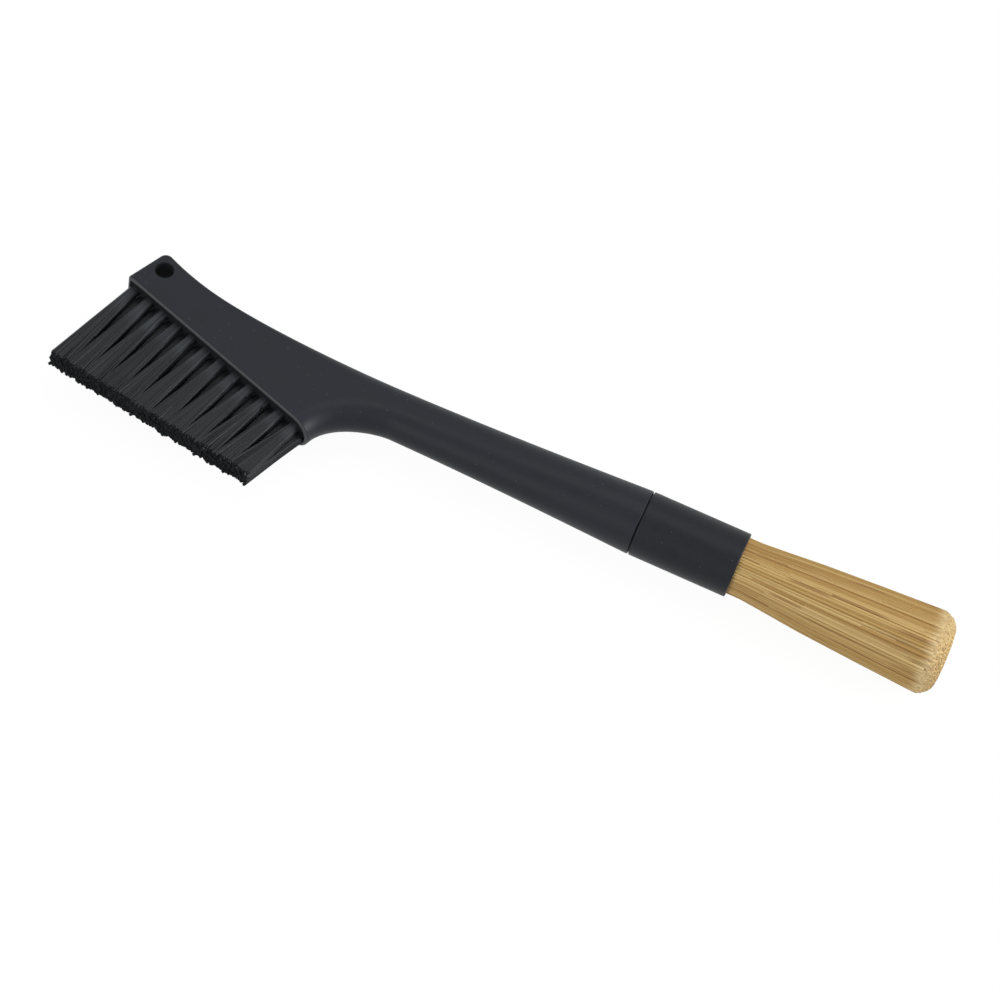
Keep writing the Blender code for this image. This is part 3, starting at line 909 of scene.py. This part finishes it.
def tuftTree():
    # Filaments folded round the staple: both ends start below the recess's floor at y = 0, and
    # leave it along -y, opening from the round hole into the block that the trim cuts
    tree, add, given = newTree(
        "folded_tuft",
        {
            "Folded": filaments["folded"],
            "Width": filaments["diameter"],
            "Root Radius": tufts["diameter"] / 2 - filaments["diameter"] / 2,
            "Tip Across": 0.0,
            "Tip Half Width": handle["rimLength"] / tufts["perRow"] / 2,
            "Tip Height": 0.0,
            "Tip Half Height": tufts["tipHeight"] / 2,
            "Length": tufts["trimAtOuterEnd"],
            "Trim Slope": 0.0,
            "Fan": 1.0,
            "Seed": 1,
            "Material": nylon["front"],
        },
    )
    strands, strand, factor = layStrands(add, given["Folded"], filaments["pointsEach"])
    swing = add("ShaderNodeMath", "MULTIPLY_ADD", {0: factor, 1: 2.0, 2: -1.0})
    side = add("ShaderNodeMath", "SIGN", {0: swing})
    reach = add("ShaderNodeMath", "ABSOLUTE", {0: swing})
    outside = add("ShaderNodeMapRange", None, {"Value": reach, "From Min": filaments["foldShare"]})
    out = add("ShaderNodeMath", "POWER", {0: outside, 1: filaments["crowding"]})
    inside = add(
        "ShaderNodeMapRange",
        None,
        {"Value": reach, "From Min": filaments["foldShare"], "From Max": 0.0},
    )
    sunk = add("ShaderNodeMath", "POWER", {0: inside, 1: filaments["foldShape"]})

    # where each filament stands in the half disc on its side of the staple
    scattered = []
    for stride in filaments["strides"]:
        run = add("ShaderNodeMath", "MULTIPLY_ADD", {0: strand, 1: stride, 2: 0.5})
        scattered.append(add("ShaderNodeMath", "FRACT", {0: run}))
    across = add("ShaderNodeMath", "MULTIPLY_ADD", {0: scattered[0], 1: 2.0, 2: -1.0})
    up = scattered[1]
    rounded = []
    for own, other in ((across, up), (up, across)):
        square = add("ShaderNodeMath", "MULTIPLY", {0: other, 1: other})
        rest = add("ShaderNodeMath", "MULTIPLY_ADD", {0: square, 1: -0.5, 2: 1.0})
        root = add("ShaderNodeMath", "SQRT", {0: rest})
        rounded.append(add("ShaderNodeMath", "MULTIPLY", {0: own, 1: root}))
    rootAcross = add("ShaderNodeMath", "MULTIPLY", {0: rounded[0], 1: given["Root Radius"]})
    room = add("ShaderNodeMath", "SUBTRACT", {0: given["Root Radius"], 1: filaments["stapleGap"]})
    rootUp = add(
        "ShaderNodeMath", "MULTIPLY_ADD", {0: rounded[1], 1: room, 2: filaments["stapleGap"]}
    )
    rootUp = add("ShaderNodeMath", "MULTIPLY", {0: rootUp, 1: side})
    fold = add(
        "ShaderNodeMath",
        "MULTIPLY_ADD",
        {0: up, 1: filaments["foldSpread"], 2: filaments["foldDepth"]},
    )
    fold = add("ShaderNodeMath", "MULTIPLY", {0: fold, 1: sunk})
    start = add("ShaderNodeCombineXYZ", None, {"X": rootAcross, "Y": fold, "Z": rootUp})

    # where its two ends are trimmed, with the clumps that a brush falls into
    end = add("ShaderNodeMath", "MULTIPLY_ADD", {0: strand, 1: 2.0, 2: side})
    chance = add(
        "FunctionNodeRandomValue",
        {"data_type": "FLOAT_VECTOR"},
        {"Min": (-1, -1, -1), "Max": (1, 1, 1), "ID": end, "Seed": given["Seed"]},
    )
    upSide = add("ShaderNodeMath", "MULTIPLY", {0: up, 1: side})
    spot = add("ShaderNodeCombineXYZ", None, {"X": across, "Y": upSide, "Z": given["Seed"]})
    clumps = {"Vector": spot, "Scale": filaments["clumps"], "Detail": 1.0}
    pull = softPush(add, clumps, filaments["clump"])
    stray = add(
        "ShaderNodeVectorMath",
        "MULTIPLY_ADD",
        {0: chance, 1: (filaments["stray"], filaments["ragged"], filaments["stray"]), 2: pull},
    )
    tipAcross = add(
        "ShaderNodeMath",
        "MULTIPLY_ADD",
        {0: across, 1: given["Tip Half Width"], 2: given["Tip Across"]},
    )
    tipUp = add(
        "ShaderNodeMath",
        "MULTIPLY_ADD",
        {0: upSide, 1: given["Tip Half Height"], 2: given["Tip Height"]},
    )
    off = add("ShaderNodeMath", "SUBTRACT", {0: given["Tip Across"], 1: tipAcross})
    trimmed = add(
        "ShaderNodeMath", "MULTIPLY_ADD", {0: off, 1: given["Trim Slope"], 2: given["Length"]}
    )
    trimmed = add("ShaderNodeMath", "MULTIPLY", {0: trimmed, 1: -1.0})
    tip = add("ShaderNodeCombineXYZ", None, {"X": tipAcross, "Y": trimmed, "Z": tipUp})
    tip = add("ShaderNodeVectorMath", "ADD", {0: tip, 1: stray})
    luck = add("FunctionNodeRandomValue", None, {"ID": end, "Seed": filaments["raritySeed"]})
    luck = add("ShaderNodeMath", "POWER", {0: luck, 1: filaments["rarity"]})
    uncut = add("ShaderNodeMath", "MULTIPLY", {0: luck, 1: -filaments["longest"]})
    uncut = add("ShaderNodeCombineXYZ", None, {"Y": uncut})
    tip = add("ShaderNodeVectorMath", "ADD", {0: tip, 1: uncut})

    # from the root to the tip: straight out, and sideways by the fan
    opened = add("ShaderNodeMath", "POWER", {0: out, 1: given["Fan"]})
    share = add("ShaderNodeCombineXYZ", None, {"X": opened, "Y": out, "Z": opened})
    way = add("ShaderNodeVectorMath", "SUBTRACT", {0: tip, 1: start})
    place = add("ShaderNodeVectorMath", "MULTIPLY_ADD", {0: way, 1: share, 2: start})
    ownWave = add("ShaderNodeCombineXYZ", None, {"X": end, "Y": out, "Z": given["Seed"]})
    amount = add("ShaderNodeMath", "MULTIPLY", {0: out, 1: filaments["waviness"]})
    waves = {"Vector": ownWave, "Scale": filaments["waves"], "Detail": 0.0}
    bend = softPush(add, waves, amount)
    place = add("ShaderNodeVectorMath", "ADD", {0: place, 1: bend})
    tint = add("FunctionNodeRandomValue", None, {"ID": end, "Seed": given["Seed"]})
    thicken(add, given, strands, place, filaments["sides"], {"along": out, "tint": tint})
    return tree


def growTufts():
    tree = tuftTree()
    tips = handle["rimLength"] - sum(tufts["tipMargins"])
    slope = (tufts["trimAtOuterEnd"] - tufts["trimAtHandleEnd"]) / handle["rimLength"]
    for row, number, x, height in tuftPlaces():
        width = tips / tufts["perRow"]
        tipAcross = tufts["tipMargins"][0] + (number + 0.5) * width
        tipUp = math.copysign(tufts["tipHeight"] / 2, height)
        length = handle["recessDepth"] + tufts["trimAtOuterEnd"] - slope * tipAcross
        inputs = {
            "Tip Across": tipAcross - x,
            "Tip Half Width": width / 2 + filaments["tipOverlap"],
            "Tip Height": tipUp - height,
            "Tip Half Height": tufts["tipHeight"] / 2 - filaments["tipRowGap"],
            "Length": length,
            "Trim Slope": slope,
            "Fan": filaments["fan"][row],
            "Seed": number + (0 if row == "front" else tufts["perRow"]),
            "Material": nylon[row],
        }
        name = f"{row}_tuft_{number + 1}"
        place = rimFrame(x, handle["recessDepth"], height)
        tuft = growPiece(f"{name}_filaments", tree, inputs, place)
        finishPiece(tuft, "black_nylon", name)


print("tufts: 24 of folded nylon")
growTufts()

bundle = {
    "strands": 6400,
    "diameter": 0.19,  # drawn thicker than a real one, to show
    "sides": 3,
    "pointsEach": 5,
    "crowding": 0.42,  # 0.5 spreads the strands evenly, less brings them outwards
    "rootRadius": 7.45,
    "start": 14.75,  # from the seam, on the resin
    "length": 59.1,  # out of the collar's mouth
    "tipRadius": 10.95,
    "tipRound": 4.6,
    "endSlant": 0.03,
    "lean": 0.5,
    "ragged": 0.7,
    "flare": 0.76,  # below 1 the bundle opens sooner
    "rootStray": 0.15,
    "clump": 0.34,
    "clumpSize": 0.021,  # as a share of the bundle's width
    "clumpRoughness": 0.6,
    "stray": 0.2,
    "tipSeed": 5,
    "rootSeed": 3,
    "tintSeed": 11,
}


def bundleTree():
    # Strands on a sunflower's spiral, straight through the collar and fanned out beyond its mouth
    tree, add, given = newTree(
        "round_bundle",
        {
            "Strands": bundle["strands"],
            "Width": bundle["diameter"],
            "Seed": bundle["tipSeed"],
            "Material": bristle,
        },
    )
    strands, strand, factor = layStrands(add, given["Strands"], bundle["pointsEach"])
    inner = add("ShaderNodeMath", "ADD", {0: strand, 1: 0.5})
    part = add("ShaderNodeMath", "DIVIDE", {0: inner, 1: given["Strands"]})
    ring = add("ShaderNodeMath", "POWER", {0: part, 1: bundle["crowding"]})
    turn = add("ShaderNodeMath", "MULTIPLY", {0: strand, 1: math.pi * (3 - math.sqrt(5))})
    beside = []
    for operation in ("COSINE", "SINE"):
        wave = add("ShaderNodeMath", operation, {0: turn})
        beside.append(add("ShaderNodeMath", "MULTIPLY", {0: wave, 1: ring}))
    spot = add("ShaderNodeCombineXYZ", None, {"Y": beside[0], "Z": beside[1]})

    # the bundle's rounded, slanting end
    flat = bundle["tipRadius"] - bundle["tipRound"]
    beyond = add("ShaderNodeMath", "MULTIPLY_ADD", {0: ring, 1: bundle["tipRadius"], 2: -flat})
    beyond = add("ShaderNodeMath", "MAXIMUM", {0: beyond, 1: 0.0})
    square = add("ShaderNodeMath", "MULTIPLY", {0: beyond, 1: beyond})
    left = add("ShaderNodeMath", "SUBTRACT", {0: bundle["tipRound"] ** 2, 1: square})
    left = add("ShaderNodeMath", "MAXIMUM", {0: left, 1: 0.0})
    rounded = add("ShaderNodeMath", "SQRT", {0: left})
    chance = add(
        "FunctionNodeRandomValue",
        {"data_type": "FLOAT_VECTOR"},
        {"Min": (-1, -1, -1), "Max": (0, 1, 1), "ID": strand, "Seed": given["Seed"]},
    )
    reach = collar["length"] + bundle["length"]
    tipAlong = add("ShaderNodeMath", "ADD", {0: rounded, 1: reach - bundle["tipRound"]})
    tipAlong = add(
        "ShaderNodeMath",
        "MULTIPLY_ADD",
        {0: beside[0], 1: -bundle["endSlant"] * bundle["tipRadius"], 2: tipAlong},
    )
    tip = add("ShaderNodeCombineXYZ", None, {"X": tipAlong, "Y": -bundle["lean"]})
    spread = (0, bundle["tipRadius"], bundle["tipRadius"])
    tip = add("ShaderNodeVectorMath", "MULTIPLY_ADD", {0: spot, 1: spread, 2: tip})
    clumps = {"Vector": spot, "Scale": 1 / (2 * bundle["clumpSize"])}
    pull = softPush(add, {**clumps, "Roughness": bundle["clumpRoughness"]}, bundle["clump"])
    pull = add("ShaderNodeVectorMath", "MULTIPLY", {0: pull, 1: (0, 1, 1)})
    stray = add(
        "ShaderNodeVectorMath",
        "MULTIPLY_ADD",
        {0: chance, 1: (bundle["ragged"], bundle["stray"], bundle["stray"]), 2: pull},
    )
    tip = add("ShaderNodeVectorMath", "ADD", {0: tip, 1: stray})
    root = add(
        "ShaderNodeVectorMath",
        "MULTIPLY_ADD",
        {0: spot, 1: (0, bundle["rootRadius"], bundle["rootRadius"]), 2: (bundle["start"], 0, 0)},
    )
    loose = bundle["rootStray"]
    area = {"Min": (0, -loose, -loose), "Max": (0, loose, loose)}
    jitter = add(
        "FunctionNodeRandomValue",
        {"data_type": "FLOAT_VECTOR"},
        {**area, "ID": strand, "Seed": bundle["rootSeed"]},
    )
    root = add("ShaderNodeVectorMath", "ADD", {0: root, 1: jitter})

    # straight through the collar as far as the second point, and opening from there
    leaves = 1 / (bundle["pointsEach"] - 1)
    opened = add("ShaderNodeMapRange", None, {"Value": factor, "From Min": leaves})
    opened = add("ShaderNodeMath", "POWER", {0: opened, 1: bundle["flare"]})
    share = add("ShaderNodeCombineXYZ", None, {"X": factor, "Y": opened, "Z": opened})
    way = add("ShaderNodeVectorMath", "SUBTRACT", {0: tip, 1: root})
    place = add("ShaderNodeVectorMath", "MULTIPLY_ADD", {0: way, 1: share, 2: root})
    tint = add("FunctionNodeRandomValue", None, {"ID": strand, "Seed": bundle["tintSeed"]})
    run = add("ShaderNodeMath", "MULTIPLY", {0: factor, 1: reach - bundle["start"]})
    run = add("ShaderNodeCombineXYZ", None, {"X": run})
    lie = add("ShaderNodeVectorMath", "MULTIPLY_ADD", {0: spot, 1: spread, 2: run})
    attributes = {"along": factor, "tint": tint, "lie": lie}
    thicken(add, given, strands, place, bundle["sides"], attributes)
    return tree


print("bundle: natural bristle")
bundlePiece = growPiece("natural_bristle_bundle", bundleTree(), {}, Matrix())
finishPiece(bundlePiece, "natural_bristle", "natural_bristles")

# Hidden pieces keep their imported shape

for name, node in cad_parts.items():
    if name == "resin_plug" or "staple" in name:
        node.data.materials.clear()
        node.data.materials.append(resin if name == "resin_plug" else wire)

# Floor, light and camera

stage = {
    "floorColour": "#c8c8c8",
    "floorSize": 6000.0,
    "floorDrop": 0.05,  # below the brush, so that the two don't flicker
    "floorLift": 0.9,  # how much of the floor's look is plain white to the camera
    "floorGlow": 1.06,  # strength of that white
    "sky": 0.62,
}


def seenRays(add):
    # 1 for the rays that show the background: the camera's, and those in gloss and glass
    rays = add("ShaderNodeLightPath")
    seen = rays.outputs["Is Camera Ray"]
    for kind in ("Is Glossy Ray", "Is Transmission Ray"):
        seen = add("ShaderNodeMath", "MAXIMUM", {0: seen, 1: rays.outputs[kind]})
    return seen


def layFloor():
    bm = bmesh.new()
    bmesh.ops.create_grid(bm, x_segments=1, y_segments=1, size=stage["floorSize"] / 2 * mm)
    mesh = bpy.data.meshes.new("floor")
    bm.to_mesh(mesh)
    bm.free()
    mesh.transform(Matrix.Translation((0, 0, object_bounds()[0].z - stage["floorDrop"] * mm)))
    material, add, shader = newMaterial("matt_paper")
    matt = {"Roughness": 1.0, "Specular IOR Level": 0.0}
    setInputs(shader, {"Base Color": linearColour(stage["floorColour"]), **matt})
    white = add("ShaderNodeEmission", None, {"Strength": stage["floorGlow"]})
    lift = add("ShaderNodeMath", "MULTIPLY", {0: seenRays(add), 1: stage["floorLift"]})
    mix = add("ShaderNodeMixShader", None, {0: lift, 1: shader, 2: white})
    setInputs(material.node_tree.nodes["Material Output"], {"Surface": mix})
    mesh.materials.append(material)
    floor = bpy.data.objects.new("floor", mesh)
    bpy.context.scene.collection.objects.link(floor)


def lightSky():
    world = bpy.data.worlds.new("studio")
    bpy.context.scene.world = world
    world.use_nodes = True
    add = partial(addNode, world.node_tree)
    strength = add("ShaderNodeMapRange", None, {"Value": seenRays(add), "To Min": stage["sky"]})
    background = world.node_tree.nodes["Background"]
    setInputs(background, {"Color": (1, 1, 1, 1), "Strength": strength})


lamps = {
    # direction from the brush, distance and size in metres, and power in watts
    "key": {"direction": (-0.03, 0.23, 0.96), "distance": 1.2, "size": 0.4, "power": 1.6},
    "right": {"direction": (0.91, 0.2, 0.32), "distance": 1.0, "size": 0.45, "power": 7.0},
    "left": {"direction": (-0.55, -0.75, 0.37), "distance": 1.0, "size": 0.5, "power": 3.2},
}


def hangLamps():
    for name, lamp in lamps.items():
        light = bpy.data.lights.new(name, "AREA")
        light.shape = "SQUARE"
        light.size = lamp["size"]
        light.energy = lamp["power"]
        holder = bpy.data.objects.new(name, light)
        bpy.context.scene.collection.objects.link(holder)
        direction = Vector(lamp["direction"]).normalized()
        holder.location = direction * lamp["distance"]
        holder.rotation_euler = direction.to_track_quat("Z", "Y").to_euler()


camera = {
    "sensor": 36.0,
    "lens": 108.3,
    "fromSeam": (41.59, -445.2, 658.27),
    "turn": (32.847, -8.467, 23.001),
}


def placeCamera():
    data = bpy.data.cameras.new("camera")
    data.lens = camera["lens"]
    data.sensor_width = camera["sensor"]
    holder = bpy.data.objects.new("camera", data)
    bpy.context.scene.collection.objects.link(holder)
    holder.location = toWorld @ Vector(camera["fromSeam"])
    holder.rotation_euler = [math.radians(angle) for angle in camera["turn"]]
    bpy.context.scene.camera = holder


print("stage: floor, light and camera")
layFloor()
lightSky()
hangLamps()
placeCamera()
bpy.context.scene.view_settings.view_transform = "Standard"
